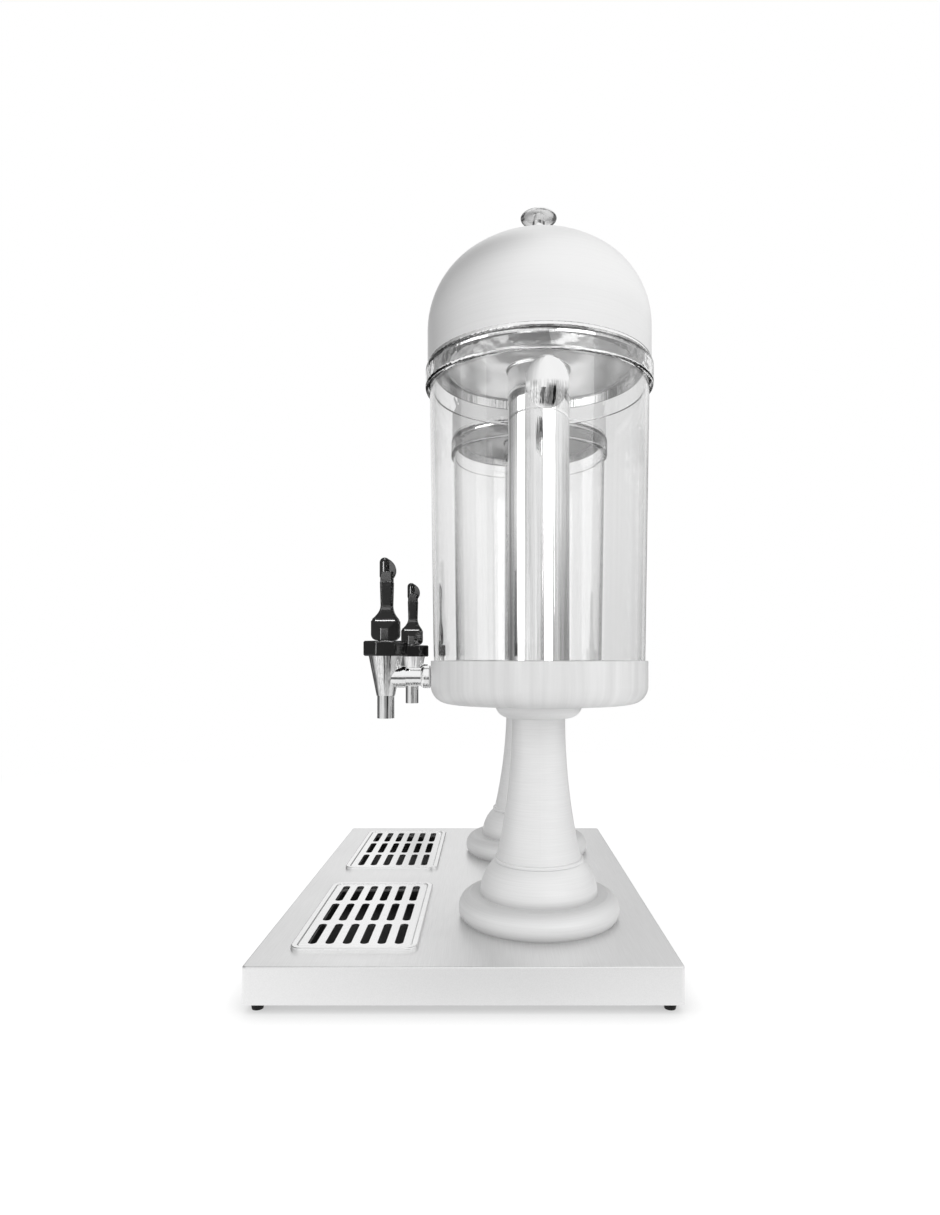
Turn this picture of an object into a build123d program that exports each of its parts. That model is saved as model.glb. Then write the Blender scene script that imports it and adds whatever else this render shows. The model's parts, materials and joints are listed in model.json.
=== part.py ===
from build123d import *
import os
from math import cos, radians, sin, sqrt, tan

# Twin drink dispenser in millimetres: two clear tanks on turned pedestals over one box base.
# X runs along the two units, the taps face -Y and Z is up. The origin is the middle of the base,
# on the surface that the feet stand on. Pieces of a unit are drawn round that unit's own axis.

# Fits
thread_gap = 0.1
running_gap = 0.05
slip_gap = 0.3
hole_gap = 0.3

# Base
base_width = 504
base_depth = 360
base_height = 31
base_sheet = 1.2
base_corner_radius = 4
base_edge_radius = 1.6
base_return = 24
unit_gap = 30
back_margin = 1

# Feet and their screws
foot_height = 7.5
foot_diameter = 12
foot_bottom_diameter = 9.4
foot_inset_x = 12
foot_inset_y = 10
foot_screw_diameter = 3
foot_screw_length = 11.5
foot_screw_head_diameter = 5.6
foot_screw_head_height = 1.8
foot_recess = 2.6

# Channel under the top of the base
stiffener_length = 400
stiffener_width = 84
stiffener_depth = 14
stiffener_sheet = 2.5

# Tie rod that clamps each pedestal
rod_diameter = 10
rod_spare = 3
rod_nut_flats = 17
rod_nut_height = 8

# Turned pedestal
spun_wall = 1.6
torus_radius = 78
torus_foot_radius = 74.5
torus_middle = 8
torus_height = 22.5
ledge_radius = 66.5
bell_radius = 57
bell_height = 31
bell_top_radius = 43
collar_radius = 43.5
collar_height = 3.5
collar_edge_radius = 1.2
column_height = 135
column_bottom_radius = 41
column_top_radius = 25.8
column_wall = 1.6
spigot_height = 6
cap_height = 14.5
cap_bottom_radius = 28.5
cap_radius = 42.5

# Cup under the tank
cup_height = 41
cup_wall = 2.6
cup_corner_radius = 17
cup_inner_corner_radius = 12
cup_lip_radius = 0.9
boss_radius = 12
boss_depth = 18
boss_thread_depth = 9
pad_height = 2
pad_inner_radius = 52
pad_width = 24

# Tank
tank_draft = 4.5
tank_height = 318
tank_wall = 3.2
tank_floor = 4
tank_corner_radius = 9
tank_inner_corner_radius = 2
tank_collar_radius = 110
tank_collar_height = 20.5
tank_collar_step = 4
tank_collar_edge_radius = 2.5
tank_mouth_edge_radius = 0.8

# Ice tube
tube_radius = 30
tube_wall = 1
tube_floor = 2
tube_bead_radius = 1.5
tube_rise = 2.5
tube_stud_diameter = 12
tube_stud_depth = 8
tube_seal_height = 2
tube_seal_radius = 26

# Knobs on the flanks of the tank
side_knob_width = 36
side_knob_height = 45
side_knob_depth = 11
side_knob_edge = 3.5
side_knob_back_width = 32
side_knob_standoff = 2
side_knob_drop = 29
side_boss_radius = 5
side_screw_diameter = 5
side_screw_reach = 7
side_screw_head_radius = 4.5
side_screw_head_height = 3

# Tap
tap_reach = 149.2
shank_rise = 25.2
shank_radius = 8.9
shank_bore_radius = 4.2
shank_thread_radius = 7
shank_flange_radius = 11
shank_flange_length = 8
shank_flange_edge = 3.5
shank_socket_depth = 8
shank_spare = 3
inlet_boss_radius = 10.6
inlet_boss_reach = 20
washer_thickness = 1.5
washer_radius = 10.5
locknut_flats = 18
locknut_length = 6
cone_top_radius = 16.5
cone_bottom_radius = 8.9
cone_top_rise = 20.4
cone_drop = 18.2
spout_radius = 8.25
spout_drop = 40.2
spout_bore_radius = 6.2
seat_drop = 12.2
chamber_seat_radius = 7.9
chamber_radius = 11
chamber_rise = 4
neck_radius = 13.5
neck_height = 9.6
bonnet_radius = 22.8
bonnet_height = 14.6
bonnet_sides = 8
bonnet_turn = 28.5
bonnet_edge = 1.2
bonnet_thread_depth = 10

# Valve stem and its seat
stem_radius = 3.5
eye_radius = 4.2
eye_thickness = 8
pin_radius = 2
pin_rise = 10
seat_cup_radius = 7.3
seat_cup_top_radius = 5
seat_cup_skirt = 4
seat_cup_height = 13
seat_cup_grip = 9

# Lever
lever_gap = 0.6
lever_tilt = 40
block_width = 27.2
block_thickness = 20
block_foot_thickness = 21
block_face_width = 7.5
block_edge_thickness = 12
block_shoulder = 11.5
block_height = 18.5
block_top_thickness = 14.8
block_ledge = 1.2
block_ledge_setback = 1
block_crown = 2.2
block_foot_radius = 6
flare_height = 13.3
flare_steps = 6
grip_width = 11.6
grip_thickness = 10.2
grip_height = 22.5
grip_top_width = 12.9
grip_top_thickness = 10.8
grip_edge = 3
grip_setback = 1.2
sleeve_setback = 0.3
sleeve_height = 10
lever_height = 81
head_radius = 5
head_length = 19
head_forward = 1
fin_reach = 10.1
fin_top_drop = 1
fin_tip_drop = 13
fin_length = 24
fin_thickness = 4.5
fork_gap = 0.4
pin_cover = 3
pin_setback = 0.5

# Lid
lid_setback = 2
lid_skirt = 33.5
lid_shoulder_radius = 78.6
lid_rise = 88.9
lid_wall = 1.2
lid_ring_height = 2.5
lid_ring_width = 18.6
lid_ring_setback = 0.4
lid_lip_depth = 4.5
lid_lip_thickness = 1.5
lid_lip_gap = 0.6
lid_knob_radius = 17.7
lid_knob_half_height = 4.5
lid_knob_lift = 20.5
lid_neck_radius = 6
lid_neck_foot_radius = 9
lid_neck_foot_height = 2
lid_screw_diameter = 5
lid_screw_reach = 20
lid_screw_head_radius = 4.8
lid_screw_head_height = 3.2

# Drip tray
tray_length = 192
tray_width = 110
tray_corner_radius = 11
tray_lead = 15.3
tray_bead_width = 6
tray_bead_height = 3.4
tray_bead_edge = 1.4
tray_ledge_width = 5
tray_sheet = 1.2
tray_depth = 20
tray_opening_gap = 1
grate_sheet = 1.2
grate_gap = 0.5
slot_length = 50
slot_width = 7.6
slot_pitch_x = 58.5
slot_pitch_y = 15.1
slot_rows = 3
slot_columns = 6

# Radii that follow the tank's collar
tank_top_radius = tank_collar_radius - tank_collar_step
tank_base_radius = tank_top_radius - tank_draft
lid_radius = tank_collar_radius - lid_setback
lid_ring_inner_radius = lid_radius - lid_ring_setback - lid_ring_width

# Places on the base
unit_spacing = 2 * tank_collar_radius + unit_gap
tank_setback = base_depth / 2 - tank_collar_radius - back_margin
tray_forward = tap_reach + tray_lead

# Levels up the stack
base_top = foot_height + base_height
sheet_underside = base_top - base_sheet
stiffener_underside = sheet_underside - stiffener_sheet
ledge_z = base_top + torus_height
bell_top = ledge_z + bell_height
column_bottom = bell_top + collar_height
column_top = column_bottom + column_height
cup_bottom = column_top + cap_height
cup_floor = cup_bottom + cup_wall
cup_top = cup_bottom + cup_height
tank_bottom = cup_floor + pad_height
tank_inside = tank_bottom + tank_floor
tank_top = tank_bottom + tank_height
collar_bottom = tank_top - tank_collar_height
tube_bottom = tank_inside + tube_seal_height
tube_top = tank_top + tube_rise
shank_z = cup_bottom + shank_rise
cone_top = shank_z + cone_top_rise
cone_bottom = shank_z - cone_drop
seat_z = shank_z - seat_drop
spout_bottom = shank_z - spout_drop
bonnet_top = cone_top + bonnet_height
lever_bottom = bonnet_top + lever_gap
pin_z = lever_bottom + pin_rise
side_knob_z = collar_bottom - side_knob_drop
dome_bottom = tank_top + lid_ring_height
dome_shoulder = dome_bottom + lid_skirt
dome_apex = dome_shoulder + lid_rise
knob_middle = dome_apex + lid_knob_lift + lid_knob_half_height

# Holes and places that more than one piece shares
rod_hole_radius = rod_diameter / 2 + hole_gap
rod_thread_radius = rod_diameter / 2 + thread_gap
stud_hole_radius = tube_stud_diameter / 2 + hole_gap
stud_thread_radius = tube_stud_diameter / 2 + thread_gap
shank_hole_radius = shank_thread_radius + hole_gap
foot_screw_hole_radius = foot_screw_diameter / 2 + hole_gap
foot_span_x = base_width - 2 * foot_inset_x
foot_span_y = base_depth - 2 * foot_inset_y
unit_places = {
    "left": (-unit_spacing / 2, tank_setback),
    "right": (unit_spacing / 2, tank_setback),
}
tray_basin_length = tray_length - 2 * (tray_bead_width + tray_ledge_width)
tray_basin_width = tray_width - 2 * (tray_bead_width + tray_ledge_width)
tray_basin_radius = tray_corner_radius - tray_bead_width
tap_axis = Axis((0, -tap_reach, 0), (0, 0, 1))
tap_plane = Plane((0, -tap_reach, 0), x_dir=(1, 0, 0), z_dir=(0, -1, 0))
shank_axis = Axis((0, 0, shank_z), (0, 1, 0))
lever_plane = Plane((0, -tap_reach, pin_z), x_dir=(0, 1, 0), z_dir=(1, 0, 0))


def tank_radius_at(z):
    """Outside radius of the drafted tank wall at a height."""
    draft = (tank_top_radius - tank_base_radius) / (collar_bottom - tank_bottom)
    return tank_base_radius + (z - tank_bottom) * draft


def column_radius_at(z):
    """Outside radius of the trumpet column, an arc that stands upright at its top."""
    flare = column_bottom_radius - column_top_radius
    arc_radius = (column_height**2 + flare**2) / (2 * flare)
    return column_top_radius + arc_radius - sqrt(arc_radius**2 - (column_top - z) ** 2)


def sagitta(curve_radius, reach):
    """How far a round face falls away from its tangent plane at a reach from the contact."""
    return curve_radius - sqrt(curve_radius**2 - reach**2)


def foot_outline(inset):
    """Half outline of the turned foot, drawn in from the outside by a wall."""
    ledge = ledge_z - inset
    top = bell_top - inset
    bell_corner = (bell_top_radius - inset, top)
    rim = (torus_foot_radius - inset, base_top)
    ThreePointArc(rim, (torus_radius - inset, base_top + torus_middle), (ledge_radius - inset, ledge))
    Line((ledge_radius - inset, ledge), (bell_radius - inset, ledge))
    TangentArc((bell_radius - inset, ledge), bell_corner, tangent=(0, 1))
    Polyline(bell_corner, (0, top), (0, base_top), rim)


def column_outline(inset):
    """Half outline of the trumpet column, drawn in from the outside by a wall."""
    top = (column_top_radius - inset, column_top)
    bottom = (column_bottom_radius - inset, column_bottom)
    TangentArc(top, bottom, tangent=(0, -1))
    Polyline(bottom, (0, column_bottom), (0, column_top), top)


def dome_outline(inset):
    """Half outline of the dome: an upright skirt, a shoulder arc and a flatter crown arc."""
    radius = lid_radius - inset
    rise = lid_rise - inset
    shoulder = lid_shoulder_radius - inset
    across = radius - shoulder
    crown = (across**2 + rise**2 - shoulder**2) / (2 * (rise - shoulder))
    middle = dome_shoulder + rise - crown
    share = crown / (crown - shoulder)
    join = (across * share, middle + (dome_shoulder - middle) * share)
    skirt_top = (radius, dome_shoulder)
    apex = (0, dome_shoulder + rise)
    Line((radius, dome_bottom), skirt_top)
    TangentArc(skirt_top, join, tangent=(0, 1))
    TangentArc(apex, join, tangent=(1, 0))
    Polyline(apex, (0, dome_bottom), (radius, dome_bottom))


# Base housing: a folded box with returned edges, two tray openings and the tie rod holes
with BuildPart() as base_housing:
    with BuildSketch(Plane.XY.offset(foot_height)):
        RectangleRounded(base_width, base_depth, base_corner_radius)
    extrude(amount=base_height)
    fillet(base_housing.faces().sort_by(Axis.Z)[-1].edges(), base_edge_radius)
    with BuildSketch(Plane.XY.offset(foot_height + base_sheet)):
        RectangleRounded(
            base_width - 2 * base_sheet, base_depth - 2 * base_sheet, base_corner_radius - base_sheet
        )
    extrude(amount=base_height - 2 * base_sheet, mode=Mode.SUBTRACT)
    with BuildSketch(Plane.XY.offset(foot_height)):
        RectangleRounded(base_width - 2 * base_return, base_depth - 2 * base_return, base_corner_radius)
    extrude(amount=base_sheet, mode=Mode.SUBTRACT)
    with BuildSketch(Plane.XY.offset(sheet_underside)):
        for place_x, place_y in unit_places.values():
            with Locations((place_x, place_y)):
                Circle(rod_hole_radius)
            with Locations((place_x, place_y - tray_forward)):
                RectangleRounded(
                    tray_basin_length + 2 * tray_opening_gap,
                    tray_basin_width + 2 * tray_opening_gap,
                    tray_basin_radius + tray_opening_gap,
                )
    extrude(amount=base_sheet, mode=Mode.SUBTRACT)
    with BuildSketch(Plane.XY.offset(foot_height)):
        with GridLocations(foot_span_x, foot_span_y, 2, 2):
            Circle(foot_screw_hole_radius)
    extrude(amount=base_sheet, mode=Mode.SUBTRACT)

# Channel that spreads the pull of the tie rods under the top of the base
with BuildPart() as base_stiffener:
    with BuildSketch(Plane.XY.offset(sheet_underside)):
        with Locations((0, tank_setback)):
            Rectangle(stiffener_length, stiffener_width)
    extrude(amount=-stiffener_depth)
    with BuildSketch(Plane.XY.offset(stiffener_underside)):
        with Locations((0, tank_setback)):
            Rectangle(stiffener_length, stiffener_width - 2 * stiffener_sheet)
    extrude(amount=-stiffener_depth, mode=Mode.SUBTRACT)
    with BuildSketch(Plane.XY.offset(stiffener_underside)):
        with Locations(*unit_places.values()):
            Circle(rod_hole_radius)
    extrude(amount=stiffener_sheet, mode=Mode.SUBTRACT)

# Rubber feet, each with a recess for its screw
with BuildPart() as base_feet:
    with GridLocations(foot_span_x, foot_span_y, 2, 2):
        Cone(
            foot_bottom_diameter / 2,
            foot_diameter / 2,
            foot_height,
            align=(Align.CENTER, Align.CENTER, Align.MIN),
        )
    with BuildSketch():
        with GridLocations(foot_span_x, foot_span_y, 2, 2):
            Circle(foot_screw_head_diameter / 2 + hole_gap)
    extrude(amount=foot_recess, mode=Mode.SUBTRACT)
    with BuildSketch():
        with GridLocations(foot_span_x, foot_span_y, 2, 2):
            Circle(foot_screw_hole_radius)
    extrude(amount=foot_height, mode=Mode.SUBTRACT)

with BuildPart() as foot_screws:
    with BuildSketch(Plane.XY.offset(foot_recess)):
        with GridLocations(foot_span_x, foot_span_y, 2, 2):
            Circle(foot_screw_head_diameter / 2)
    extrude(amount=-foot_screw_head_height)
    with BuildSketch(Plane.XY.offset(foot_recess)):
        with GridLocations(foot_span_x, foot_span_y, 2, 2):
            Circle(foot_screw_diameter / 2)
    extrude(amount=foot_screw_length)

with BuildPart() as tie_rod_nuts:
    with BuildSketch(Plane.XY.offset(stiffener_underside)):
        with Locations(*unit_places.values()):
            RegularPolygon(rod_nut_flats / 2, 6, major_radius=False)
            Circle(rod_thread_radius, mode=Mode.SUBTRACT)
    extrude(amount=-rod_nut_height)

shared_pieces = {
    "base_housing": base_housing,
    "base_stiffener": base_stiffener,
    "base_feet": base_feet,
    "foot_screws": foot_screws,
    "tie_rod_nuts": tie_rod_nuts,
}

# Pedestal foot: torus tier, ledge and bell tier spun in one shell
with BuildPart() as pedestal_foot:
    with BuildSketch(Plane.XZ):
        with BuildLine():
            foot_outline(0)
        make_face()
    revolve(axis=Axis.Z)
    with BuildSketch(Plane.XZ):
        with BuildLine():
            foot_outline(spun_wall)
        make_face()
    revolve(axis=Axis.Z, mode=Mode.SUBTRACT)
    with BuildSketch(Plane.XY.offset(bell_top)):
        Circle(rod_hole_radius)
    extrude(amount=-spun_wall, mode=Mode.SUBTRACT)

# Lip ring on the bell, with a spigot that centres the column
with BuildPart() as pedestal_collar:
    with BuildSketch(Plane.XY.offset(bell_top)):
        Circle(collar_radius)
    extrude(amount=collar_height)
    fillet(pedestal_collar.edges().filter_by(GeomType.CIRCLE), collar_edge_radius)
    with BuildSketch(Plane.XY.offset(column_bottom)):
        Circle(column_radius_at(column_bottom + spigot_height) - column_wall - slip_gap)
    extrude(amount=spigot_height)
    with BuildSketch(Plane.XY.offset(bell_top)):
        Circle(rod_hole_radius)
    extrude(amount=collar_height + spigot_height, mode=Mode.SUBTRACT)

with BuildPart() as pedestal_column:
    with BuildSketch(Plane.XZ):
        with BuildLine():
            column_outline(0)
        make_face()
    revolve(axis=Axis.Z)
    with BuildSketch(Plane.XZ):
        with BuildLine():
            column_outline(column_wall)
        make_face()
    revolve(axis=Axis.Z, mode=Mode.SUBTRACT)

# Bowl flange on the column, bored for the boss of the cup
with BuildPart() as column_cap:
    with BuildSketch(Plane.XZ):
        with BuildLine():
            TangentArc((cap_bottom_radius, column_top), (cap_radius, cup_bottom), tangent=(1, 0))
            Polyline(
                (cap_radius, cup_bottom), (0, cup_bottom), (0, column_top), (cap_bottom_radius, column_top)
            )
        make_face()
    revolve(axis=Axis.Z)
    with BuildSketch(Plane.XY.offset(column_top)):
        Circle(column_top_radius - column_wall - slip_gap)
    extrude(amount=-spigot_height)
    with BuildSketch(Plane.XY.offset(cup_bottom)):
        Circle(boss_radius + slip_gap)
    extrude(amount=-cap_height - spigot_height, mode=Mode.SUBTRACT)

rod_bottom = stiffener_underside - rod_nut_height - rod_spare
rod_top = cup_bottom - boss_depth + boss_thread_depth - hole_gap
with BuildPart() as tie_rod:
    with BuildSketch(Plane.XY.offset(rod_bottom)):
        Circle(rod_diameter / 2)
    extrude(amount=rod_top - rod_bottom)

# Cup: rounded dish with a blind boss below, drilled for the tap
cup_inner_radius = tank_radius_at(cup_top) + slip_gap
cup_radius = cup_inner_radius + cup_wall
with BuildPart() as tank_cup:
    with BuildSketch(Plane.XZ):
        with BuildLine():
            Line((0, cup_bottom), (cup_radius - cup_corner_radius, cup_bottom))
            TangentArc(
                (cup_radius - cup_corner_radius, cup_bottom),
                (cup_radius, cup_bottom + cup_corner_radius),
                tangent=(1, 0),
            )
            Polyline(
                (cup_radius, cup_bottom + cup_corner_radius),
                (cup_radius, cup_top),
                (cup_inner_radius, cup_top),
                (cup_inner_radius, cup_floor + cup_inner_corner_radius),
            )
            TangentArc(
                (cup_inner_radius, cup_floor + cup_inner_corner_radius),
                (cup_inner_radius - cup_inner_corner_radius, cup_floor),
                tangent=(0, -1),
            )
            Polyline((cup_inner_radius - cup_inner_corner_radius, cup_floor), (0, cup_floor), (0, cup_bottom))
        make_face()
    revolve(axis=Axis.Z)
    fillet(tank_cup.faces().sort_by(Axis.Z)[-1].edges(), cup_lip_radius)
    with BuildSketch(Plane.XY.offset(cup_bottom)):
        Circle(boss_radius)
    extrude(amount=-boss_depth)
    with BuildSketch(Plane.XY.offset(cup_floor)):
        Circle(stud_thread_radius)
    extrude(amount=-tube_stud_depth, mode=Mode.SUBTRACT)
    with BuildSketch(Plane.XY.offset(cup_bottom - boss_depth)):
        Circle(rod_thread_radius)
    extrude(amount=boss_thread_depth, mode=Mode.SUBTRACT)
    with BuildSketch(Plane.XZ):
        with Locations((0, shank_z)):
            Circle(shank_hole_radius)
    extrude(amount=cup_radius + cup_wall, mode=Mode.SUBTRACT)

with BuildPart() as tank_pad:
    with BuildSketch(Plane.XY.offset(cup_floor)):
        Circle(pad_inner_radius + pad_width)
        Circle(pad_inner_radius, mode=Mode.SUBTRACT)
    extrude(amount=pad_height)

# Clear tank: drafted wall, flat floor and a thick collar round the mouth
tank_mouth_radius = tank_radius_at(tank_top) - tank_wall
tank_inner_base_radius = tank_radius_at(tank_inside + tank_inner_corner_radius) - tank_wall
with BuildPart() as tank:
    with BuildSketch(Plane.XZ):
        with BuildLine():
            wall_foot = (tank_radius_at(tank_bottom + tank_corner_radius), tank_bottom + tank_corner_radius)
            floor_edge = (wall_foot[0] - tank_corner_radius, tank_bottom)
            inner_foot = (tank_inner_base_radius, tank_inside + tank_inner_corner_radius)
            inner_floor_edge = (tank_inner_base_radius - tank_inner_corner_radius, tank_inside)
            Line((0, tank_bottom), floor_edge)
            TangentArc(floor_edge, wall_foot, tangent=(1, 0))
            Polyline(
                wall_foot,
                (tank_top_radius, collar_bottom),
                (tank_collar_radius, collar_bottom),
                (tank_collar_radius, tank_top),
                (tank_mouth_radius, tank_top),
                inner_foot,
            )
            TangentArc(inner_floor_edge, inner_foot, tangent=(1, 0))
            Polyline(inner_floor_edge, (0, tank_inside), (0, tank_bottom))
        make_face()
    revolve(axis=Axis.Z)
    rim_edges = tank.edges().filter_by(GeomType.CIRCLE).filter_by_position(Axis.Z, collar_bottom, tank_top)
    fillet(rim_edges.group_by(SortBy.RADIUS)[-1], tank_collar_edge_radius)
    fillet(tank.faces().sort_by(Axis.Z)[-1].edges().sort_by(SortBy.RADIUS)[0], tank_mouth_edge_radius)
    with BuildSketch(Plane.XY.offset(tank_bottom)):
        Circle(stud_hole_radius)
    extrude(amount=tank_floor, mode=Mode.SUBTRACT)
    with BuildSketch(Plane.XZ):
        with Locations((0, shank_z)):
            Circle(shank_hole_radius)
    extrude(amount=cup_radius, mode=Mode.SUBTRACT)
    with BuildSketch(Plane.YZ):
        with Locations((0, side_knob_z)):
            Circle(side_screw_diameter / 2 + hole_gap)
    extrude(amount=tank_collar_radius, both=True, mode=Mode.SUBTRACT)

# Ice tube: closed below, with a stud that clamps the tank and the cup together
with BuildPart() as ice_tube:
    with BuildSketch(Plane.XY.offset(tube_bottom)):
        Circle(tube_radius)
    extrude(amount=tube_top - tube_bottom - tube_bead_radius)
    with BuildSketch(Plane.XY.offset(tube_bottom + tube_floor)):
        Circle(tube_radius - tube_wall)
    extrude(amount=tube_top - tube_bottom, mode=Mode.SUBTRACT)
    with BuildSketch(Plane.XZ):
        with Locations((tube_radius - tube_wall + tube_bead_radius, tube_top - tube_bead_radius)):
            Circle(tube_bead_radius)
    revolve(axis=Axis.Z)
    with BuildSketch(Plane.XY.offset(tube_bottom)):
        Circle(tube_stud_diameter / 2)
    extrude(amount=cup_floor - tube_stud_depth + hole_gap - tube_bottom)

with BuildPart() as ice_tube_seal:
    with BuildSketch(Plane.XY.offset(tank_inside)):
        Circle(tube_seal_radius)
        Circle(stud_hole_radius, mode=Mode.SUBTRACT)
    extrude(amount=tube_seal_height)

# Oval knobs on both flanks: a shallow round cap drawn out to an oval, on a short boss
side_wall_x = tank_radius_at(side_knob_z + side_boss_radius)
side_knob_back = side_wall_x + side_knob_standoff
with BuildPart() as knob_cap:
    with BuildSketch():
        with BuildLine():
            edge = (side_knob_edge, side_knob_width / 2)
            crown = (side_knob_depth, 0)
            Polyline(crown, (0, 0), (0, side_knob_back_width / 2))
            TangentArc(edge, (0, side_knob_back_width / 2), tangent=(-1, 0))
            TangentArc(crown, edge, tangent=(0, 1))
        make_face()
    revolve(axis=Axis.X)
    scale(by=(1, 1, side_knob_height / side_knob_width))

with BuildPart() as side_knobs:
    with Locations((side_knob_back, 0, side_knob_z)):
        add(knob_cap.part)
    with BuildSketch(Plane.YZ.offset(side_wall_x)):
        with Locations((0, side_knob_z)):
            Circle(side_boss_radius)
    extrude(amount=side_knob_standoff)
    with BuildSketch(Plane.YZ.offset(side_wall_x)):
        with Locations((0, side_knob_z)):
            Circle(side_screw_diameter / 2 + thread_gap)
    extrude(amount=side_screw_reach + thread_gap, mode=Mode.SUBTRACT)
    mirror(about=Plane.YZ)

side_inner_radius = tank_radius_at(side_knob_z - side_screw_head_radius) - tank_wall
side_head_x = side_inner_radius - sagitta(side_inner_radius, side_screw_head_radius)
with BuildPart() as side_knob_screws:
    with BuildSketch(Plane.YZ.offset(side_head_x)):
        with Locations((0, side_knob_z)):
            Circle(side_screw_head_radius)
    extrude(amount=-side_screw_head_height)
    with BuildSketch(Plane.YZ.offset(side_head_x)):
        with Locations((0, side_knob_z)):
            Circle(side_screw_diameter / 2)
    extrude(amount=side_wall_x + side_screw_reach - side_head_x)
    mirror(about=Plane.YZ)

# Tap body: cone, spout and inlet boss, with the valve chamber inside
with BuildPart() as tap_body:
    with BuildSketch(tap_plane):
        with BuildLine():
            Polyline(
                (0, spout_bottom),
                (spout_radius, spout_bottom),
                (spout_radius, cone_bottom),
                (cone_bottom_radius, cone_bottom),
                (cone_top_radius, cone_top),
                (neck_radius, cone_top),
                (neck_radius, cone_top + neck_height),
                (0, cone_top + neck_height),
                close=True,
            )
        make_face()
    revolve(axis=tap_axis)
    with BuildSketch(Plane.XZ.offset(tap_reach)):
        with Locations((0, shank_z)):
            Circle(inlet_boss_radius)
    extrude(amount=-inlet_boss_reach)
    with BuildSketch(tap_plane):
        with BuildLine():
            Polyline(
                (0, spout_bottom),
                (spout_bore_radius, spout_bottom),
                (spout_bore_radius, seat_z),
                (chamber_seat_radius, seat_z),
                (chamber_radius, shank_z + chamber_rise),
                (chamber_radius, cone_top + neck_height),
                (0, cone_top + neck_height),
                close=True,
            )
        make_face()
    revolve(axis=tap_axis, mode=Mode.SUBTRACT)
    with BuildSketch(Plane.XZ.offset(tap_reach)):
        with Locations((0, shank_z)):
            Circle(shank_bore_radius)
    extrude(amount=-inlet_boss_reach, mode=Mode.SUBTRACT)
    with BuildSketch(Plane.XZ.offset(tap_reach - inlet_boss_reach)):
        with Locations((0, shank_z)):
            Circle(shank_thread_radius + thread_gap)
    extrude(amount=shank_socket_depth, mode=Mode.SUBTRACT)

# Shank: a nipple with a rounded flange, threaded into the body and through the cup and the tank
flange_face = -cup_radius - washer_thickness
flange_start = flange_face - shank_flange_length
shank_start = -tap_reach + inlet_boss_reach
tank_wall_y = -tank_radius_at(shank_z - washer_radius) + tank_wall
washer_face = tank_wall_y + sagitta(-tank_wall_y, washer_radius)
locknut_face = washer_face + washer_thickness
shank_end = locknut_face + locknut_length + shank_spare
with BuildPart() as tap_shank:
    with BuildSketch(Plane.YZ):
        with BuildLine():
            nose = (flange_start, shank_z + shank_radius)
            brim = (flange_start + shank_flange_edge, shank_z + shank_flange_radius)
            Polyline(
                nose,
                (shank_start, shank_z + shank_radius),
                (shank_start, shank_z + shank_thread_radius),
                (shank_start - shank_socket_depth, shank_z + shank_thread_radius),
                (shank_start - shank_socket_depth, shank_z),
                (shank_end, shank_z),
                (shank_end, shank_z + shank_thread_radius),
                (flange_face, shank_z + shank_thread_radius),
                (flange_face, shank_z + shank_flange_radius),
                brim,
            )
            TangentArc(brim, nose, tangent=(-1, 0))
        make_face()
    revolve(axis=shank_axis)
    with BuildSketch(Plane.XZ.offset(-shank_start + shank_socket_depth)):
        with Locations((0, shank_z)):
            Circle(shank_bore_radius)
    extrude(amount=shank_start - shank_socket_depth - shank_end, mode=Mode.SUBTRACT)

with BuildPart() as tap_washers:
    for washer_start in (flange_face, washer_face):
        with BuildSketch(Plane.XZ.offset(-washer_start)):
            with Locations((0, shank_z)):
                Circle(washer_radius)
                Circle(shank_hole_radius, mode=Mode.SUBTRACT)
        extrude(amount=-washer_thickness)

with BuildPart() as tap_locknut:
    with BuildSketch(Plane.XZ.offset(-locknut_face)):
        with Locations((0, shank_z)):
            RegularPolygon(locknut_flats / 2, 6, major_radius=False)
            Circle(shank_thread_radius + thread_gap, mode=Mode.SUBTRACT)
    extrude(amount=-locknut_length)

# Bonnet: an eight-sided nut over the neck of the body
with BuildPart() as tap_bonnet:
    with BuildSketch(Plane.XY.offset(cone_top)):
        with Locations((0, -tap_reach)):
            RegularPolygon(bonnet_radius, bonnet_sides, rotation=bonnet_turn)
    extrude(amount=bonnet_height)
    chamfer(tap_bonnet.faces().filter_by(Axis.Z).edges(), bonnet_edge)
    with BuildSketch(Plane.XY.offset(cone_top)):
        with Locations((0, -tap_reach)):
            Circle(neck_radius + thread_gap)
    extrude(amount=bonnet_thread_depth, mode=Mode.SUBTRACT)
    with BuildSketch(Plane.XY.offset(cone_top)):
        with Locations((0, -tap_reach)):
            Circle(stem_radius + running_gap)
    extrude(amount=bonnet_height, mode=Mode.SUBTRACT)

# Valve stem: a round rod with a flat eye for the lever pin
with BuildPart() as valve_stem:
    with BuildSketch(Plane.XY.offset(seat_z + seat_cup_height - seat_cup_grip)):
        with Locations((0, -tap_reach)):
            Circle(stem_radius)
    extrude(amount=pin_z - seat_z - seat_cup_height + seat_cup_grip)
    with BuildSketch(lever_plane):
        Circle(eye_radius)
    extrude(amount=eye_thickness / 2, both=True)
    with BuildSketch(lever_plane):
        Circle(pin_radius + running_gap)
    extrude(amount=eye_thickness, both=True, mode=Mode.SUBTRACT)

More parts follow.
